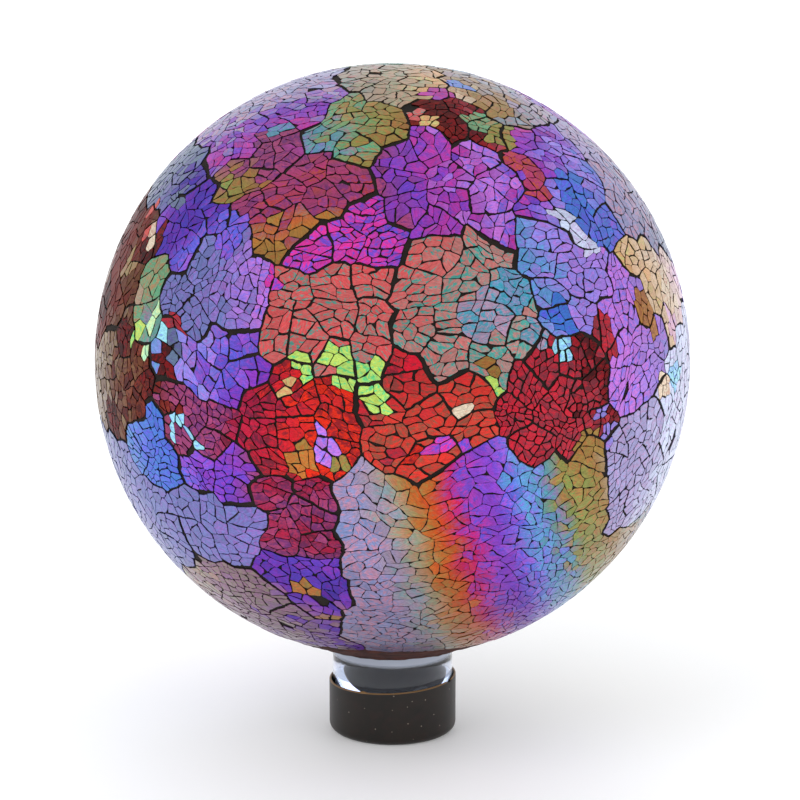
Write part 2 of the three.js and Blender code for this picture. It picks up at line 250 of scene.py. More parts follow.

# Single tiles and small groups of another film: place, reach in degrees and film. A place is where the
# photo shows it, in pixels, or its longitude and latitude. Where reaches overlap, the first one counts.
# The brightest of them are painted glints and painted rim reflection.
ACCENTS = [
    # Painted glints of bright yellow-green under the coral sheets, and a few tiles of other films.
    (seen_at(289, 356), 1.4, "glint_lime"),
    (seen_at(300, 372), 1.5, "glint_lime"),
    (seen_at(332, 359), 2.4, "glint_lime"),
    (direction(-8.5, 8.6), 2.2, "glint_lime"),
    (direction(-4.0, 11.5), 2.0, "glint_lime"),
    (direction(-3.0, 7.0), 2.5, "glint_lime"),
    (direction(17.5, 8.0), 1.5, "glint_lime"),
    (seen_at(394, 343), 1.0, "glint_lime"),
    (seen_at(286, 388), 1.6, "peach"),
    (seen_at(460, 412), 1.3, "cream"),
    (seen_at(486, 368), 1.8, "olive"),
    # The left side, where dark and bright films meet; the pale green, yellow-green and aqua tiles are painted
    # glints.
    (direction(-51.0, 17.6), 1.9, "glint_mint"),
    (direction(-54.0, 14.5), 1.9, "glint_mint"),
    (direction(-57.0, 12.8), 1.6, "glint_lime"),
    (seen_at(153, 350), 1.7, "glint_mint"),
    (direction(-47.3, 12.5), 1.2, "aqua"),
    (direction(-60.0, 18.5), 1.6, "tan"),
    (direction(-64.0, 29.5), 1.8, "cream"),
    (direction(-69.0, 23.0), 2.6, "olive"),
    (direction(-72.0, 34.0), 2.0, "scarlet"),
    (direction(-68.0, 29.0), 1.6, "scarlet"),
    (direction(-62.0, 12.0), 3.2, "dark_ruby"),
    (seen_at(175, 325), 2.0, "ruby"),
    (direction(-44.5, 10.8), 2.2, "slate"),
    (seen_at(273, 272), 1.9, "pink"),
    (seen_at(180, 199), 3.0, "slate"),
    (seen_at(228, 236), 3.6, "blue"),
    (seen_at(285, 126), 2.2, "teal"),
    (seen_at(168, 365), 2.6, "dark_ruby"),
    (seen_at(112, 424), 4.0, "dark_ruby"),
    (seen_at(150, 245), 3.5, "dark_ruby"),
    (seen_at(105, 300), 4.0, "dark_ruby"),
    (seen_at(277, 138), 4.5, "plum"),
    # The crown and the right shoulder.
    (direction(27.0, 71.5), 3.2, "purple"),
    (direction(50.0, 73.7), 2.5, "cyan"),
    (direction(50.0, 66.0), 4.2, "olive"),
    (direction(14.1, 61.5), 1.8, "peach"),
    (direction(8.7, 65.0), 2.0, "coral"),
    (seen_at(480, 122), 3.2, "green"),
    (seen_at(505, 135), 3.6, "moss"),
    (seen_at(515, 160), 3.6, "rose"),
    (seen_at(535, 185), 3.0, "rose"),
    # The pale blue-white tiles here are painted glints.
    (seen_at(560, 213), 2.0, "ice_sheen"),
    (direction(43.2, 34.3), 2.0, "ice_sheen"),
    (seen_at(590, 240), 2.2, "ice_sheen"),
    (seen_at(575, 195), 4.5, "azure"),
    # The right side.
    (seen_at(560, 320), 3.0, "azure"),
    (seen_at(535, 340), 2.6, "teal_pink"),
    (direction(24.5, 24.5), 5.0, "teal_blue"),
    (direction(18.5, 20.5), 5.0, "teal_pink"),
    (seen_at(668, 285), 3.0, "cream"),
    (direction(58.5, 16.0), 3.2, "copper"),
    (direction(69.5, 12.5), 3.2, "blush"),
    (seen_at(562, 350), 2.1, "aqua"),
    (seen_at(600, 335), 3.4, "ruby"),
    (seen_at(602, 410), 1.5, "lavender"),
    (direction(44.5, -3.5), 2.0, "lavender"),
    (seen_at(590, 448), 3.2, "olive"),
    (direction(62.0, 0.5), 2.6, "cream"),
    (direction(67.7, 2.5), 3.4, "aqua"),
    # Between the red band and the lower sheets.
    (seen_at(394, 455), 1.6, "ruby"),
    (seen_at(414, 453), 1.4, "scarlet"),
    (seen_at(440, 450), 1.8, "pink"),
    (seen_at(462, 452), 1.8, "magenta"),
    # Aqua tiles as painted glints.
    (seen_at(176, 432), 1.3, "aqua"),
    (seen_at(182, 422), 1.5, "aqua"),
    (direction(-38.0, -3.3), 1.3, "aqua"),
    (direction(-18.0, -5.4), 3.0, "orange"),
    (direction(-12.3, -3.0), 2.4, "orchid"),
    (direction(-10.3, -5.9), 1.8, "moss"),
    (seen_at(305, 590), 2.6, "orange"),
]

# One seed for the scatter and the noise, so that each run gives the same globe.
SEED = 40
noise.seed_set(SEED)

# Shards and tiles. Lengths are in mm unless MM stands beside them.
TILE_DEPTH = 1.2 * MM
EDGE_DROP = 0.1 * MM
EDGE_WIDTH = 0.16
LEVEL_SPREAD = 0.1
TILT = math.radians(0.9)
TILE_STEP = 1.7
CORNER_ROUND = 0.7
CORNER_SPREAD = (0.5, 1.4)
CORNER_REACH = 0.36
CORNER_PULL = 0.6
CHIP_SHARE = 0.1
CHIP_SIZE = 1.9
BITE = 0.3
LEAST_TILE = 2.6
LOST_SHARE = 0.0015
PART_TILES = 14.0
SPOT_TRIES = 5
RELAXED = 2
PATCH_REACH = BALL_RADIUS - 0.3 * MM
STRAIGHT = 0.05

# The gaps between tiles, where shards meet and where a shard broke across.
GAP_SHARES = (0.4, 0.65, 0.9, 1.3, 2.0)
GAP_SPREAD = (0.7, 1.3)
BORDER_GAP = 0.55
GAPE = 4
BREAK_LIMITS = (0.7, 1.5)
BREAK_TURN = 0.35
BREAK_SHIFT = 0.12
BREAK_GAPS = (1.0, 2.0)
BREAK_NARROWING = 0.92

# The shards' middles. The spacing is a share of a shard's width, and the next three are shares of the
# spacing: how far inside the patch they lie, how far a shard reaches and how far away a neighbour counts.
# The scatter ends after so many misses in a row.
SHARD_SPACING = 0.83
SHARD_INSIDE = 0.2
SHARD_REACH = 2.5
NEIGHBOUR_REACH = 3.2
MOST_MISSES = 80

# The cracks' bends: length and reach in mm, and where in the noise they are read.
BENDS = (
    (30, 5.0, Vector((0, 0, 0))),
    (12, 2.2, Vector((1, 8, 2))),
    (4.5, 0.7, Vector((7, 3, 5))),
    (2.2, 0.3, Vector((4, 9, 1))),
)

# A tile's colours: how far it drifts along its sheet's run, its shade, how much more or less it is flecked
# and how much of the flecks' colour its film takes. Tiles lower than LOW_FROM, a share of the ball's radius
# from its middle, are darker: a painted shade on the ball's underside. A tile's three rings of points have a
# painted shade each, darker down its sides and at its bevel, where shade falls in the gaps.
DRIFT = 0.12
RUN_ON_DRIFT = 0.02
SHADES = (0.88, 1.1)
LOW_PAINTED_SHADE = 0.6
LOW_FROM = -0.45
FLECKED = (0.4, 1.6)
MOST_TINT = 0.6
RING_PAINTED_SHADES = (0.25, 0.55, 1.0)
GRAIN_SHIFT = 60
GRAIN_TURN = 0.5
BAKE_MARGIN = 0.12

# The bare grout round the neck, in degrees from the ball's lowest point: the tiles end about half-way
# from the nearest of these rings, which stand for tiles left out.
BARE_RINGS = (22.5, 16.5)
BARE_SPACING = 7.0


def linear(code):
    """The linear colour of a hexadecimal screen colour."""
    channels = [(code >> shift & 255) / 255 for shift in (16, 8, 0)]
    return Vector([c / 12.92 if c <= 0.04045 else ((c + 0.055) / 1.055) ** 2.4 for c in channels])


FILM_COLOURS = {name: (linear(film), linear(fleck), share) for name, (film, fleck, share) in FILMS.items()}
ACCENT_CONES = [(place, math.cos(math.radians(reach)), film) for place, reach, film in ACCENTS]


def along(films, t):
    """The film's colour, its flecks' and their share at t, from 0 to 1, on the way through some films."""
    t = min(max(t, 0), 1) * (len(films) - 1)
    i = min(int(t), len(films) - 2)
    t -= i
    first, second = FILM_COLOURS[films[i]], FILM_COLOURS[films[i + 1]]
    share = first[2] + t * (second[2] - first[2])
    return first[0].lerp(second[0], t), first[1].lerp(second[1], t), share


# Convex polygons, as corners going left round: x and y in mm, and the gap along the edge that follows.

def clip(polygon, nx, ny, limit, gap=0.0):
    """The part of a polygon where nx x + ny y is at most limit. A new edge gets the gap."""
    kept = []
    for i, (x, y, edge) in enumerate(polygon):
        u, v, _ = polygon[(i + 1) % len(polygon)]
        here = nx * x + ny * y - limit
        there = nx * u + ny * v - limit
        if here <= 0:
            kept.append((x, y, edge))
        if here * there < 0:
            t = here / (here - there)
            kept.append((x + t * (u - x), y + t * (v - y), gap if here < 0 else edge))
    return kept


def area_and_centre(polygon):
    area = x_sum = y_sum = 0.0
    for i, (x, y, _) in enumerate(polygon):
        u, v, _ = polygon[(i + 1) % len(polygon)]
        cross = x * v - u * y
        area += cross / 2
        x_sum += (x + u) * cross / 6
        y_sum += (y + v) * cross / 6
    return area, x_sum / area, y_sum / area


def farthest_pair(polygon):
    pairs = [(a, b) for i, a in enumerate(polygon) for b in polygon[i + 1:]]
    return max(pairs, key=lambda pair: math.hypot(pair[1][0] - pair[0][0], pair[1][1] - pair[0][1]))


def broken(polygon, limit, gap, rng):
    """Breaks a sheet across its length until every shard is under the limit. Early breaks gape wider."""
    area, x, y = area_and_centre(polygon)
    if area < limit * rng.uniform(*BREAK_LIMITS):
        return [polygon]
    a, b = farthest_pair(polygon)
    length = math.hypot(b[0] - a[0], b[1] - a[1])
    angle = math.atan2(b[1] - a[1], b[0] - a[0]) + rng.gauss(0, BREAK_TURN)
    nx, ny = math.cos(angle), math.sin(angle)
    cut = nx * x + ny * y + length * rng.uniform(-BREAK_SHIFT, BREAK_SHIFT)
    width = gap * rng.uniform(*BREAK_GAPS)
    halves = clip(polygon, nx, ny, cut, width), clip(polygon, -nx, -ny, -cut, width)
    gap *= BREAK_NARROWING
    return [shard for half in halves if len(half) > 2 for shard in broken(half, limit, gap, rng)]


def holds(polygon, x, y):
    """Whether a convex polygon holds a point."""
    for i, (a, b, _) in enumerate(polygon):
        c, d, _ = polygon[(i + 1) % len(polygon)]
        if (c - a) * (y - b) < (d - b) * (x - a):
            return False
    return True


def scattered_inside(polygon, count, rng):
    """Points in a polygon, each as far from the others as the best of a few tries."""
    xs = [corner[0] for corner in polygon]
    ys = [corner[1] for corner in polygon]
    left, right, bottom, top = min(xs), max(xs), min(ys), max(ys)
    points = []
    while len(points) < count:
        tries = []
        while len(tries) < SPOT_TRIES:
            point = rng.uniform(left, right), rng.uniform(bottom, top)
            if holds(polygon, *point):
                tries.append(point)
        points.append(max(tries, key=lambda p: min((math.dist(p, q) for q in points), default=0)))
    return points


def cells_of(polygon, points, gap):
    """The parts of a polygon nearer to one point than to any other."""
    cells = []
    for i, (px, py) in enumerate(points):
        cell = polygon
        for j, (qx, qy) in enumerate(points):
            if i == j or len(cell) < 3:
                continue
            nx, ny = qx - px, qy - py
            length = math.hypot(nx, ny)
            middle = (nx * (px + qx) + ny * (py + qy)) / 2 / length
            share = GAP_SHARES[(i + j) * 7 % len(GAP_SHARES)]
            cell = clip(cell, nx / length, ny / length, middle, gap * share)
        if len(cell) > 2:
            cells.append(cell)
    return cells


def crackled(shard, width, gap, rng):
    """Crackles a shard into tiles of about even size."""
    count = max(1, round(area_and_centre(shard)[0] / width**2))
    points = scattered_inside(shard, count, rng)
    for _ in range(RELAXED):
        points = [area_and_centre(cell)[1:] for cell in cells_of(shard, points, gap)]
    return cells_of(shard, points, gap)


def turned(polygon, angle, stretch):
    """The polygon turned by the angle, then stretched along y."""
    c, s = math.cos(angle), math.sin(angle)
    return [(c * x - s * y, (s * x + c * y) * stretch, gap) for x, y, gap in polygon]


def turned_back(polygon, angle, stretch):
    c, s = math.cos(angle), math.sin(angle)
    return [(c * x + s * y / stretch, -s * x + c * y / stretch, gap) for x, y, gap in polygon]


def inset(polygon, rng):
    """The polygon with each edge moved in by half its gap, more or less."""
    tile = polygon
    for i, (x, y, gap) in enumerate(polygon):
        u, v, _ = polygon[(i + 1) % len(polygon)]
        length = math.hypot(u - x, v - y)
        if length < 1e-6:
            continue
        nx, ny = (v - y) / length, (x - u) / length
        tile = clip(tile, nx, ny, nx * x + ny * y - gap / 2 * rng.uniform(*GAP_SPREAD))
        if len(tile) < 3:
            return []
    return tile


def rounded(polygon, rng):
    """The outline as points. Corners are round or chipped, and long edges are divided so that they can
    wander."""
    points = []
    count = len(polygon)
    for i in range(count):
        before, here, after = polygon[i - 1], polygon[i], polygon[(i + 1) % count]
        in_length = math.hypot(here[0] - before[0], here[1] - before[1])
        out_length = math.hypot(after[0] - here[0], after[1] - here[1])
        if min(in_length, out_length) < 1e-6:
            continue
        chipped = rng.random() < CHIP_SHARE
        radius = CHIP_SIZE if chipped else CORNER_ROUND
        back = min(radius * rng.uniform(*CORNER_SPREAD), in_length * CORNER_REACH)
        on = min(radius * rng.uniform(*CORNER_SPREAD), out_length * CORNER_REACH)
        start = [here[k] + (before[k] - here[k]) * back / in_length for k in (0, 1)]
        stop = [here[k] + (after[k] - here[k]) * on / out_length for k in (0, 1)]
        points.append(start)
        if not chipped:
            ends = (1 - CORNER_PULL) / 2
            points.append([(start[k] + stop[k]) * ends + here[k] * CORNER_PULL for k in (0, 1)])
        points.append(stop)
        straight = out_length * (1 - CORNER_REACH) - on
        steps = int(straight / TILE_STEP)
        for step in range(1, steps + 1):
            t = (on + straight * step / (steps + 1)) / out_length
            bite = rng.uniform(0, BITE) / out_length
            x = here[0] + (after[0] - here[0]) * t - (after[1] - here[1]) * bite
            y = here[1] + (after[1] - here[1]) * t + (after[0] - here[0]) * bite
            points.append([x, y])
    return points


def wander(point):
    """How far the cracks wander sideways at a place on the ball, so that none is quite straight."""
    moves = [
        noise.noise_vector(point / (length * MM) + shift) * reach * MM
        for length, reach, shift in BENDS
    ]
    return sum(moves, Vector())


def border_distance(x, y, hull):
    """How far a point lies inside a convex outline, in mm."""
    nearest = math.inf
    for i, (a, b) in enumerate(hull):
        c, d = hull[(i + 1) % len(hull)]
        nearest = min(nearest, ((c - a) * (y - b) - (d - b) * (x - a)) / math.hypot(c - a, d - b))
    return nearest


class Mosaic:
    """The tiles of one patch, gathered into one mesh."""

    def __init__(self, name):
        self.name = name
        self.points = []
        self.faces = []
        self.films = []
        self.flecks = []
        self.grain = []
        self.bake = []

    def add(self, outline, centre, plane, colours, rng):
        """Adds a tile: a flat face, a narrow bevel and straight sides that end in the grout."""
        places = []
        for x, y in outline:
            place = place_on(plane, x, y)
            places.append((place * BALL_RADIUS + wander(place * BALL_RADIUS)).normalized())
        middle = sum(places, Vector()).normalized()
        tilt = Vector((rng.gauss(0, TILT), rng.gauss(0, TILT), rng.gauss(0, TILT)))
        facing = (middle + tilt).normalized()
        widest = max(1 / facing.dot(place) for place in places)
        level = (TILED_RADIUS - rng.uniform(0, LEVEL_SPREAD) * MM) / widest
        first = len(self.points)
        count = len(places)
        shift = Vector([rng.uniform(-GRAIN_SHIFT, GRAIN_SHIFT) for _ in range(2)])
        lie = rng.gauss(0, GRAIN_TURN)
        along_x = Vector((math.cos(lie), -math.sin(lie)))
        along_y = Vector((math.sin(lie), math.cos(lie)))
        for ring in range(3):
            for (x, y), place in zip(outline, places):
                reach = math.hypot(x - centre[0], y - centre[1])
                inwards = min(EDGE_WIDTH / max(reach, 0.01), 0.4) if ring == 2 else 0.0
                spot = place.lerp(middle, inwards).normalized()
                height = level / facing.dot(spot)
                if ring == 0:
                    height -= TILE_DEPTH
                if ring == 1:
                    height -= EDGE_DROP
                self.points.append(BALL_CENTRE + spot * height)
                # Painted shade: each ring darker from the bevel down to the grout.
                self.colour(colours(spot), RING_PAINTED_SHADES[ring])
                flat = Vector((x, y)).lerp(Vector(centre), inwards)
                self.grain.append(Vector((flat.dot(along_x), flat.dot(along_y))) + shift)
                spread = 1 + BAKE_MARGIN / max(reach, 0.5) if ring == 0 else 1
                self.bake.append(Vector(centre) + (flat - Vector(centre)) * spread)
        self.points.append(BALL_CENTRE + middle * (level / facing.dot(middle)))
        self.colour(colours(middle), 1.0)
        flat = Vector(centre)
        self.grain.append(Vector((flat.dot(along_x), flat.dot(along_y))) + shift)
        self.bake.append(Vector(centre))
        for i in range(count):
            j = (i + 1) % count
            for ring in (0, 1):
                a = first + ring * count
                self.faces.append((a + i, a + j, a + count + j, a + count + i))
            self.faces.append((first + 2 * count + i, first + 2 * count + j, first + 3 * count))
        self.faces.append(tuple(first + i for i in reversed(range(count))))

    def colour(self, colours, shade):
        film, fleck, share = colours
        self.films.append((*(film * shade), 1))
        self.flecks.append((*(fleck * shade), share))

    def piece(self, material, slot):
        mesh = bpy.data.meshes.new(self.name)
        mesh.from_pydata([tuple(p) for p in self.points], [], self.faces)
        for label, rows in (("film", self.films), ("fleck", self.flecks)):
            layer = mesh.attributes.new(label, "FLOAT_COLOR", "POINT")
            layer.data.foreach_set("color", [c for row in rows for c in row])
        left, right = min(p.x for p in self.bake), max(p.x for p in self.bake)
        bottom, top = min(p.y for p in self.bake), max(p.y for p in self.bake)
        scale = 1 / max(right - left, top - bottom)
        corners = [0] * len(mesh.loops)
        mesh.loops.foreach_get("vertex_index", corners)
        unit = [Vector(((p.x - left) * scale, (p.y - bottom) * scale)) for p in self.bake]
        for label, rows in (("OFBake", unit), ("grain", self.grain)):
            layer = mesh.uv_layers.new(name=label)
            layer.data.foreach_set("uv", [c for corner in corners for c in rows[corner]])
        mesh.materials.append(material)
        piece = bpy.data.objects.new(self.name, mesh)
        bpy.context.scene.collection.objects.link(piece)
        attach(piece, "root")
        return piece


def patch_outline(node):
    """The outline of a patch's solid, on the plane that touches the ball at the patch's middle."""
    outer = [v.co - BALL_CENTRE for v in node.data.vertices]
    outer = [p.normalized() for p in outer if p.length > PATCH_REACH]
    out = sum(outer, Vector()).normalized()
    east = Vector((0, 0, 1)).cross(out).normalized()
    north = out.cross(east)
    flat = set()
    for p in outer:
        scale = BALL_RADIUS / MM / p.dot(out)
        flat.add((round(p.dot(east) * scale, 3), round(p.dot(north) * scale, 3)))
    hull = []
    for points in (sorted(flat), sorted(flat, reverse=True)):
        chain = []
        for point in points:
            while len(chain) > 1 and turn(chain[-2], chain[-1], point) < STRAIGHT:
                chain.pop()
            chain.append(point)
        hull += chain[:-1]
    return hull, (out, east, north)


def turn(a, b, c):
    """How far the way from a by b to c bends to the left, as the height of b off the line from a to c."""
    length = math.hypot(c[0] - a[0], c[1] - a[1])
    return ((b[0] - a[0]) * (c[1] - b[1]) - (b[1] - a[1]) * (c[0] - b[0])) / max(length, 1e-9)


def place_on(plane, x, y):
    """The direction from the ball's centre to a point of a plane that touches the ball, given in mm."""
    out, east, north = plane
    return (out + (east * x + north * y) * MM / BALL_RADIUS).normalized()


class Sheet:
    """One patch: its outline, the plane on which it is laid out, and the shards that it breaks into."""

    def __init__(self, name, style):
        self.name = name
        films, way, self.width, self.gap, shard_tiles, grain, self.stretch = style
        self.rng = random.Random(f"{SEED} {name}")
        self.grain = math.radians(grain)
        self.spacing = SHARD_SPACING * self.width * math.sqrt(shard_tiles)
        hull, self.plane = patch_outline(frame["nodes"]["patch_" + name])
        self.seeds = self.scattered(hull)
        self.run_on = isinstance(films, str)
        if self.run_on:
            run, start, reach, self.films = SHEETS[films]
            self.run = run / reach
            self.start = start / reach
        else:
            self.films = films
            way = math.radians(way)
            towards = self.plane[1] * math.cos(way) + self.plane[2] * math.sin(way)
            reaches = [x * math.cos(way) + y * math.sin(way) for x, y in hull]
            self.run = towards * BALL_RADIUS / MM / (max(reaches) - min(reaches))
            self.start = min(reaches) / (max(reaches) - min(reaches))

    def scattered(self, hull):
        """The middles of the shards, scattered over the outline and none too near to another."""
        xs = [x for x, _ in hull]
        ys = [y for _, y in hull]
        left, right, bottom, top = min(xs), max(xs), min(ys), max(ys)
        points = []
        misses = 0
        while misses < MOST_MISSES:
            point = self.rng.uniform(left, right), self.rng.uniform(bottom, top)
            inside = border_distance(*point, hull) > self.spacing * SHARD_INSIDE
            if inside and all(math.dist(point, other) > self.spacing for other in points):
                points.append(point)
                misses = 0
            else:
                misses += 1
        outline = [(x, y, 0) for x, y in hull]
        return [area_and_centre(cell)[1:] for cell in cells_of(outline, points, 0)]

    def shard(self, seed, others):
        """The part of the sheet nearer to one seed than to any other, of this sheet or of its neighbours."""
        out, east, north = self.plane
        x, y = seed
        half = self.spacing * SHARD_REACH
        polygon = [(x + half * a, y + half * b, 0) for a, b in ((-1, -1), (1, -1), (1, 1), (-1, 1))]
        here = place_on(self.plane, x, y)
        for place, owner in others:
            apart = here - place
            if apart.length < 1e-6 or len(polygon) < 3:
                continue
            nx, ny = -apart.dot(east) * MM / BALL_RADIUS, -apart.dot(north) * MM / BALL_RADIUS
            length = math.hypot(nx, ny)
            gap = self.gap if owner is self else BORDER_GAP
            if owner and owner.run_on and self.run_on:
                gap = self.gap / 2
            gap *= 1 + GAPE * self.rng.random() ** 3
            polygon = clip(polygon, nx / length, ny / length, apart.dot(out) / length, gap)
        return polygon

    def tiles(self, shard):
        """The shard broken across and then crackled."""
        span = self.width * math.sqrt(self.stretch)
        shard = turned(shard, -self.grain, self.stretch)
        for part in broken(shard, PART_TILES * span**2, self.gap, self.rng):
            for tile in crackled(part, span, self.gap, self.rng):
                tile = inset(turned_back(tile, -self.grain, self.stretch), self.rng)
                if len(tile) > 2:
                    yield tile

    def lay(self, tree, seeds, material, slot):
        """Lays every tile of the sheet and returns how many there are."""
        mosaic = Mosaic("mosaic_" + self.name)
        count = 0
        for seed in self.seeds:
            around = self.spacing * NEIGHBOUR_REACH * MM / BALL_RADIUS
            near = tree.find_range(place_on(self.plane, *seed), around)
            shard = self.shard(seed, [seeds[i] for _, i, _ in near])
            if len(shard) < 3:
                continue
            for tile in self.tiles(shard):
                area, x, y = area_and_centre(tile)
                if area < LEAST_TILE or self.rng.random() < LOST_SHARE:
                    continue
                mosaic.add(rounded(tile, self.rng), (x, y), self.plane, self.colours(x, y), self.rng)
                count += 1
        piece = mosaic.piece(material, slot)
        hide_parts("patch_" + self.name)
        return count

    def colours(self, x, y):
        """A tile's film, flecks and their share, as a function of the place on the ball."""
        middle = place_on(self.plane, x, y)
        accent = next((film for place, cone, film in ACCENT_CONES if middle.dot(place) > cone), None)
        drift = self.rng.gauss(0, RUN_ON_DRIFT if self.run_on else DRIFT)
        # Darker low on the ball, a painted shade.
        shade = self.rng.uniform(*SHADES) * (1 + LOW_PAINTED_SHADE * min(0, middle.z - LOW_FROM))
        flecked = self.rng.uniform(*FLECKED)
        tint = self.rng.uniform(0, MOST_TINT)

        def colours_at(place):
            if accent:
                film, fleck, share = FILM_COLOURS[accent]
            else:
                film, fleck, share = along(self.films, place.dot(self.run) - self.start + drift)
            return film.lerp(fleck, tint * share) * shade, fleck * shade, share * flecked

        return colours_at


def lay_mosaic(material):
    """Lays all the sheets. Their shards share one net, so that each sheet's broken edge fits the next's."""
    slots = {part["node"]: part["material_slot"] for part in frame["record"]["subparts"]}
    sheets = [Sheet(name, style) for name, style in STYLES.items()]
    seeds = [(place_on(sheet.plane, *seed), sheet) for sheet in sheets for seed in sheet.seeds]
    for below in BARE_RINGS:
        around = round(2 * math.pi * BALL_RADIUS * math.sin(math.radians(below)) / MM / BARE_SPACING)
        seeds += [(direction(360 * i / around, below - 90), None) for i in range(around)]
    tree = kdtree.KDTree(len(seeds))
    for i, (place, _) in enumerate(seeds):
        tree.insert(place, i)
    tree.balance()
    return sum(sheet.lay(tree, seeds, material, slots["patch_" + sheet.name]) for sheet in sheets)


# Turned pieces.

def lathe(name, profile, segments, material, shift=None):
    """A turned piece about Z from a closed profile of radius and height, with its faces outwards. Points on
    the axis are shared."""
    following = profile[1:] + profile[:1]
    if sum(a[0] * b[1] - b[0] * a[1] for a, b in zip(profile, following)) < 0:
        profile = profile[::-1]
    points = []
    rings = []
    for radius, height in profile:
        if radius < 1e-7:
            rings.append([len(points)] * segments)
            points.append(Vector((0, 0, height)))
            continue
        rings.append([len(points) + i for i in range(segments)])
        for i in range(segments):
            angle = 2 * math.pi * i / segments
            points.append(Vector((radius * math.sin(angle), -radius * math.cos(angle), height)))
    if shift:
        points = [shift(p) for p in points]
    faces = []
    for r, ring in enumerate(rings):
        above = rings[(r + 1) % len(rings)]
        if len(set(ring)) == 1 and len(set(above)) == 1:
            continue
        for i in range(segments):
            j = (i + 1) % segments
            corners = list(dict.fromkeys((ring[i], ring[j], above[j], above[i])))
            if len(corners) > 2:
                faces.append(corners)
    mesh = bpy.data.meshes.new(name)
    mesh.from_pydata([tuple(p) for p in points], [], faces)
    mesh.shade_smooth()
    mesh.materials.append(material)
    piece = bpy.data.objects.new(name, mesh)
    bpy.context.scene.collection.objects.link(piece)
    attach(piece, "root")
    return piece


def arc(centre_radius, centre_height, radius, start, stop, steps):
    """Points of an arc in a profile, by the angle in degrees from straight up towards the outside."""
    points = []
    for i in range(steps + 1):
        angle = math.radians(start + (stop - start) * i / steps)
        points.append((centre_radius + radius * math.sin(angle), centre_height + radius * math.cos(angle)))
    return points


GLASS_RADIUS = 0.1234
GLASS_WALL = 0.0015
NECK_WALL = 0.0018
NECK_FILLET = 0.0025
NECK_END = 0.0038
GROUT_DEPTH = 0.0007
GROUT_INSIDE = 0.1237
COLLAR_DEPTH = 0.0003
COLLAR_OUTER = 28.5
COLLAR_INNER = 13.5
BEAD_OUTER = 17.5
BEAD_SLOPE = 2.0
BEAD_HEIGHT = 0.0013
COLLAR_SLOPE = 0.8
COLLAR_SINK = 0.2 * MM
# The grout's grit all over and its lumps on the collar: length and height.
GRIT = (2.2 * MM, 0.16 * MM)
LUMPS = (5 * MM, 0.35 * MM)
GLASS_STEPS = 48
GLASS_SEGMENTS = 96
GROUT_STEPS = 110
GROUT_SEGMENTS = 300
COLLAR_STEPS = 16
INSIDE_STEPS = 60
ROUND_STEPS = 8


def glass_globe(material):
    centre = BALL_CENTRE.z
    inside = GLASS_RADIUS - GLASS_WALL
    bore = NECK_RADIUS - NECK_WALL
    fillet_at = NECK_RADIUS + NECK_FILLET
    fillet_turn = math.asin(fillet_at / (GLASS_RADIUS + NECK_FILLET))
    fillet_height = centre - fillet_at / math.tan(fillet_turn)
    bore_turn = math.degrees(math.asin(bore / inside))
    fillet_turn = math.degrees(fillet_turn)
    profile = [
        *arc(0, centre, GLASS_RADIUS, 0, 180 - fillet_turn, GLASS_STEPS),
        *arc(fillet_at, fillet_height, NECK_FILLET, -fillet_turn, -90, ROUND_STEPS)[1:],
        (NECK_RADIUS, NECK_END),
        (bore, NECK_END),
        *arc(0, centre, inside, 180 - bore_turn, 0, GLASS_STEPS),
    ]
    piece = lathe("clear_glass_ball", profile, GLASS_SEGMENTS, material)
    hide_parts("glass_ball", "glass_neck")


def grout_bed(material):
    centre = BALL_CENTRE.z
    tiled = TILED_RADIUS - GROUT_DEPTH
    collar = TILED_RADIUS - COLLAR_DEPTH
    profile = [
        *arc(0, centre, tiled, 0, 180 - COLLAR_OUTER, GROUT_STEPS),
        *arc(0, centre, collar, 180 - COLLAR_OUTER + COLLAR_SLOPE, 180 - COLLAR_INNER, COLLAR_STEPS),
        *arc(0, centre, GROUT_INSIDE, 180 - COLLAR_INNER, 0, INSIDE_STEPS),
    ]

    def lumpy(point):
        place = point - BALL_CENTRE
        if place.length < GROUT_INSIDE + 0.2 * MM:
            return point
        below = 180 - math.degrees(place.angle(Vector((0, 0, 1))))
        rough = noise.noise(place / GRIT[0]) * GRIT[1]
        if below < COLLAR_OUTER:
            rough += noise.noise(place / LUMPS[0]) * LUMPS[1] - COLLAR_SINK
            rough += BEAD_HEIGHT * min(max((BEAD_OUTER - below) / BEAD_SLOPE, 0), 1)
        return BALL_CENTRE + place.normalized() * (place.length + rough)

    piece = lathe("dark_grout", profile, GROUT_SEGMENTS, material, lumpy)
    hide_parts("grout_bed")


CAP_WALL = 0.0012
CAP_FLOOR = 0.0015
CAP_CORNER = 0.0035
CAP_SEGMENTS = 160
# The rim's rise towards +X, as a slope.
CAP_RIM_SLANT = 0.045
# A burr and a nick in the rim: degrees round from the front, width in degrees and height.
CAP_FLAWS = ((-28.0, 2.5, 0.0006), (64.0, 3.5, -0.0008))


def neck_cap(material):
    inner = CAP_RADIUS - CAP_WALL
    half = CAP_WALL / 2
    profile = [
        (0, 0),
        *arc(CAP_RADIUS - CAP_CORNER, CAP_CORNER, CAP_CORNER, 180, 90, ROUND_STEPS),
        (CAP_RADIUS, CAP_HEIGHT * 0.5),
        *arc(CAP_RADIUS - half, CAP_HEIGHT - half, half, 90, -90, ROUND_STEPS),
        (inner, CAP_HEIGHT * 0.5),
        *arc(inner - CAP_CORNER + CAP_WALL, CAP_CORNER, CAP_CORNER - CAP_WALL, 90, 180, 6)[:-1],
        (inner - CAP_CORNER + CAP_WALL, CAP_FLOOR),
        (0, CAP_FLOOR),
    ]

    def slanted(point):
        rise = max(0.0, point.z / CAP_HEIGHT * 2 - 1)
        around = math.degrees(math.atan2(point.x, -point.y))
        lift = sum(height * math.exp(-((around - at) / width) ** 2) for at, width, height in CAP_FLAWS)
        return point + Vector((0, 0, (CAP_RIM_SLANT * point.x + lift) * rise))

    piece = lathe("vinyl_cap", profile, CAP_SEGMENTS, material, slanted)
    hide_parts("neck_cap")


# Materials.

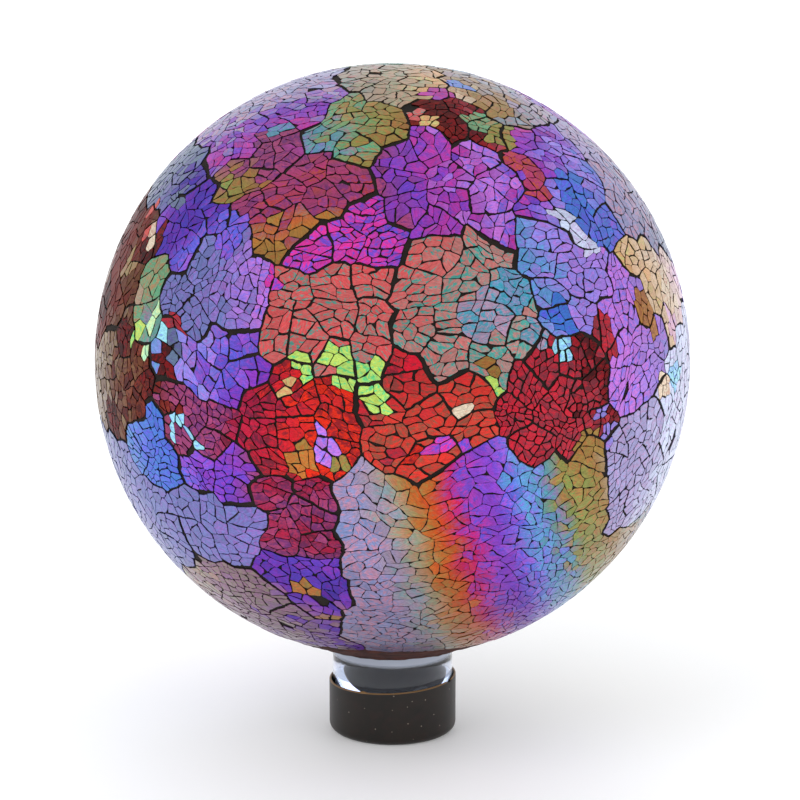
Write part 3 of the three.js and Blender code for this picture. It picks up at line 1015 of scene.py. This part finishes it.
class Nodes:
    """A material's nodes, made by short calls."""

    def __init__(self, name):
        self.material = bpy.data.materials.new(name)
        self.material.use_nodes = True
        self.tree = self.material.node_tree
        self.shader = self.tree.nodes["Principled BSDF"]

    def new(self, kind, inputs=None, **settings):
        node = self.tree.nodes.new(kind)
        for key, value in settings.items():
            setattr(node, key, value)
        for key, value in (inputs or {}).items():
            self.put(node.inputs[key], value)
        return node

    def put(self, socket, value):
        if isinstance(value, bpy.types.NodeSocket):
            self.tree.links.new(value, socket)
        else:
            socket.default_value = value

    def mix(self, factor, a, b, blend="MIX"):
        node = self.new("ShaderNodeMix", data_type="RGBA", blend_type=blend)
        self.put(node.inputs[0], factor)
        self.put(node.inputs[6], a)
        self.put(node.inputs[7], b)
        return node.outputs[2]

    def ramp(self, value, low, high):
        node = self.new("ShaderNodeMapRange", {"Value": value, "From Min": low, "From Max": high})
        return node.outputs[0]

    def math(self, operation, a, b=0.0):
        node = self.new("ShaderNodeMath", {0: a, 1: b}, operation=operation)
        return node.outputs[0]

    def noise(self, vector, scale, detail=3.0, roughness=0.55):
        inputs = {"Vector": vector, "Scale": scale, "Detail": detail, "Roughness": roughness}
        return self.new("ShaderNodeTexNoise", inputs).outputs[0]

    def set(self, **values):
        for key, value in values.items():
            self.put(self.shader.inputs[key.replace("_", " ")], value)


def film_glass():
    n = Nodes("film_glass")
    film = n.new("ShaderNodeAttribute", attribute_name="film").outputs["Color"]
    flecks = n.new("ShaderNodeAttribute", attribute_name="fleck").outputs
    fleck, share = flecks["Color"], flecks["Alpha"]
    grain = n.new("ShaderNodeUVMap", uv_map="grain").outputs[0]
    drawn = n.new("ShaderNodeMapping", {"Vector": grain, "Rotation": (0, 0, 0.6), "Scale": (0.42, 1.0, 1.0)})
    streaks = n.noise(drawn.outputs[0], 0.8, 4.0, 0.65)
    blots = n.noise(grain, 0.35, 3.0)
    level = n.math("ADD", n.math("MULTIPLY", share, 0.3), streaks)
    mask = n.math("MULTIPLY", n.ramp(level, 0.605, 0.645), n.ramp(blots, 0.38, 0.52))
    colour = n.mix(n.math("MULTIPLY", mask, 0.95), film, fleck)
    brushed = n.new("ShaderNodeMapping", {"Vector": grain, "Rotation": (0, 0, 1.0), "Scale": (0.3, 1.0, 1.0)})
    strokes = n.ramp(n.noise(brushed.outputs[0], 2.6, 3.0, 0.6), 0.5, 0.62)
    colour = n.mix(n.math("MULTIPLY", strokes, share), colour, fleck)
    fine = n.ramp(n.noise(brushed.outputs[0], 1.7, 3.0, 0.6), 0.3, 0.7)
    colour = n.mix(0.5, colour, n.mix(fine, (0.5, 0.5, 0.5, 1), (1.5, 1.5, 1.5, 1)), "MULTIPLY")
    cells = n.new("ShaderNodeTexVoronoi", {"Vector": grain, "Scale": 0.22}, feature="DISTANCE_TO_EDGE")
    hair = n.ramp(cells.outputs["Distance"], 0.0, 0.012)
    faint = n.ramp(n.noise(grain, 0.25, 1.0), 0.4, 0.55)
    hair = n.math("MAXIMUM", hair, faint)
    colour = n.mix(n.math("MULTIPLY", n.math("SUBTRACT", 1.0, hair), 0.45), colour, (0.01, 0.01, 0.01, 1))
    rich = {"Color": colour, "Saturation": 1.03, "Value": 0.94}
    n.set(Base_Color=n.new("ShaderNodeHueSaturation", rich).outputs[0], Metallic=0.85, Roughness=0.32)
    n.set(IOR=1.5, Coat_Weight=0.2, Coat_Roughness=0.05)
    bright = n.ramp(n.new("ShaderNodeRGBToBW", {"Color": film}).outputs[0], 0.03, 0.14)
    n.set(Sheen_Weight=n.math("MULTIPLY", bright, 0.3), Sheen_Roughness=0.2, Sheen_Tint=(0.85, 0.88, 1, 1))
    n.set(Specular_Tint=n.mix(bright, film, (1, 1, 1, 1)))
    bump = n.new("ShaderNodeBump", {"Height": streaks, "Strength": 0.12, "Distance": 0.0002})
    n.put(n.shader.inputs["Normal"], bump.outputs[0])
    return n.material


def grout():
    n = Nodes("grout")
    place = n.new("ShaderNodeTexCoord").outputs["Object"]
    coarse = n.noise(place, 140.0, 4.0)
    fine = n.noise(place, 1500.0, 3.0)
    height = n.new("ShaderNodeSeparateXYZ", {"Vector": place}).outputs["Z"]
    collar = n.ramp(height, BALL_CENTRE.z - 0.100, BALL_CENTRE.z - 0.110)
    dark = n.mix(n.ramp(coarse, 0.35, 0.7), (*linear(0x17130F), 1), (*linear(0x241B16), 1))
    reddish = n.mix(n.ramp(coarse, 0.35, 0.65), (*linear(0x2A1310), 1), (*linear(0x4A251C), 1))
    colour = n.mix(collar, dark, reddish)
    colour = n.mix(0.3, colour, n.mix(fine, (0.4, 0.4, 0.4, 1), (1.6, 1.6, 1.6, 1)), "MULTIPLY")
    bump = n.new("ShaderNodeBump", {"Height": fine, "Strength": 0.6, "Distance": 0.0003})
    n.set(Base_Color=colour, Roughness=0.85, Specular_IOR_Level=0.25, Normal=bump.outputs[0])
    return n.material


def clear_glass():
    n = Nodes("clear_glass")
    place = n.new("ShaderNodeTexCoord").outputs["Object"]
    height = n.new("ShaderNodeSeparateXYZ", {"Vector": place}).outputs["Z"]
    # A pale band at the top of the shown neck, where the glass is made less clear and takes the pale blue
    # base colour: a painted highlight.
    flare = CAP_HEIGHT + NECK_SHOWN
    painted_highlight_band = n.math("MULTIPLY", n.ramp(height, flare - 0.0025, flare - 0.0008), 0.45)
    n.set(Base_Color=(0.78, 0.84, 0.98, 1), Roughness=0.02, IOR=1.5)
    n.set(Transmission_Weight=n.math("SUBTRACT", 1.0, painted_highlight_band))
    bump = n.new("ShaderNodeBump", {"Height": n.noise(place, 60.0, 2.0), "Strength": 0.05, "Distance": 0.001})
    n.put(n.shader.inputs["Normal"], bump.outputs[0])
    return n.material


def cap_vinyl():
    n = Nodes("cap_vinyl")
    place = n.new("ShaderNodeTexCoord").outputs["Object"]
    cloud = n.ramp(n.noise(place, 90.0, 4.0), 0.35, 0.65)
    colour = n.mix(cloud, (*linear(0x130F0B), 1), (*linear(0x1D1610), 1))
    reddish = n.ramp(n.noise(place, 260.0, 3.0), 0.5, 0.7)
    colour = n.mix(n.math("MULTIPLY", reddish, 0.4), colour, (*linear(0x2A1510), 1))
    specks = n.new("ShaderNodeTexVoronoi", {"Vector": place, "Scale": 300.0}).outputs["Distance"]
    colour = n.mix(n.ramp(specks, 0.075, 0.055), colour, (*linear(0x9A8E80), 1))
    # A golden-brown line along the rim's rounded top: a painted highlight.
    split = n.new("ShaderNodeSeparateXYZ", {"Vector": place}).outputs
    level = n.math("SUBTRACT", split["Z"], n.math("MULTIPLY", split["X"], CAP_RIM_SLANT))
    rim = n.ramp(level, CAP_HEIGHT - 0.0005, CAP_HEIGHT - 0.0003)
    colour = n.mix(rim, colour, (*linear(0x8C6A44), 1))
    grain = n.noise(place, 2200.0, 2.0)
    bump = n.new("ShaderNodeBump", {"Height": grain, "Strength": 0.05, "Distance": 0.0002})
    n.set(Base_Color=colour, Roughness=0.42, Specular_IOR_Level=0.32, Normal=bump.outputs[0])
    return n.material


def floor_paint():
    n = Nodes("floor_paint")
    place = n.new("ShaderNodeTexCoord").outputs["Object"]
    tone = n.ramp(n.noise(place, 3.0, 3.0), 0.2, 0.8)
    n.set(Base_Color=n.mix(tone, (0.9, 0.9, 0.91, 1), (0.93, 0.93, 0.93, 1)), Roughness=0.7)
    n.set(Emission_Color=(1, 1, 1, 1), Emission_Strength=0.1)
    return n.material


# Studio. The lights have a place, a size in metres and a power in watts.

FLOOR_RADIUS = 12
LIGHTS = {
    "key": (Vector((-1.3, -1.5, 1.7)), 1.4, 14),
    "fill": (Vector((1.8, -1.1, 0.9)), 1.4, 6),
    "back": (Vector((0.2, 2.0, 1.4)), 1.8, 12),
}


def softbox(name, place, size, power):
    data = bpy.data.lights.new(name, "AREA")
    data.shape = "DISK"
    data.size = size
    data.energy = power
    light = bpy.data.objects.new(name, data)
    light.visible_glossy = False
    light.location = place
    light.rotation_euler = (BALL_CENTRE - light.location).to_track_quat("-Z", "Y").to_euler()
    bpy.context.scene.collection.objects.link(light)


def studio():
    bpy.ops.mesh.primitive_circle_add(vertices=96, radius=FLOOR_RADIUS, fill_type="NGON", location=(0, 0, 0))
    floor = bpy.context.object
    floor.name = "floor"
    floor.data.materials.append(floor_paint())
    world = bpy.data.worlds.new("studio")
    world.use_nodes = True
    tree = world.node_tree
    background = tree.nodes["Background"]
    background.inputs["Color"].default_value = (0.97, 0.985, 1.0, 1)
    background.inputs["Strength"].default_value = 1.0
    bpy.context.scene.world = world
    for name, settings in LIGHTS.items():
        softbox(name, *settings)


photo_camera()
print("tiles", lay_mosaic(film_glass()))
glass_globe(clear_glass())
grout_bed(grout())
neck_cap(cap_vinyl())
studio()
bpy.context.scene.view_settings.view_transform = "Standard"
